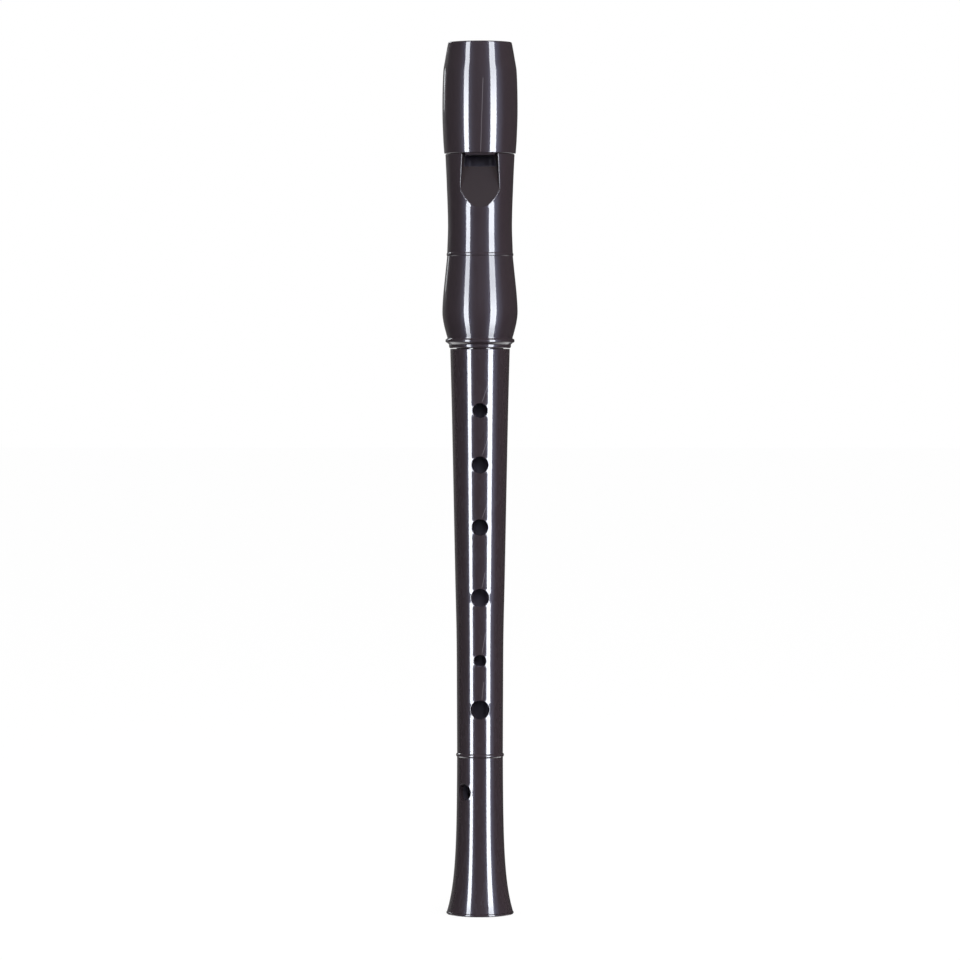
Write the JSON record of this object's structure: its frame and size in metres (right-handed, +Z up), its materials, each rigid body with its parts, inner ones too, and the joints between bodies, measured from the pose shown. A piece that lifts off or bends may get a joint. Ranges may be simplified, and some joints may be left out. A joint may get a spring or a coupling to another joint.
{
  "type": "sopranino recorder",
  "caption": "Small end-blown duct flute in moulded plastic, with a beak, a window and lip, a turned head joint and a tapered body with a flared foot.",
  "frame": {"origin": "centre of the foot end, in the plane that it stands on", "axes": "+Z up the bore to the beak, -Y towards the window and the finger holes, +X the player's left"},
  "size_m": [0.0212, 0.0212, 0.245],
  "materials": {
    "body_tube": "polished dark brown moulded ABS",
    "head_tube": "polished dark brown moulded ABS, matt on the ramp",
    "mouthpiece_cap": "polished dark brown moulded ABS",
    "windway_block": "satin dark brown moulded ABS"
  },
  "bodies": {
    "body": {"body_tube": "body_tube"},
    "head": {"head_tube": "head_tube", "mouthpiece_cap": "mouthpiece_cap", "windway_block": "windway_block"}
  },
  "joints": [
    {"name": "head_slide", "type": "slide", "parent": "body", "child": "head", "axis": [0, 0, 1], "range_m": [0, 0.02]}
  ]
}
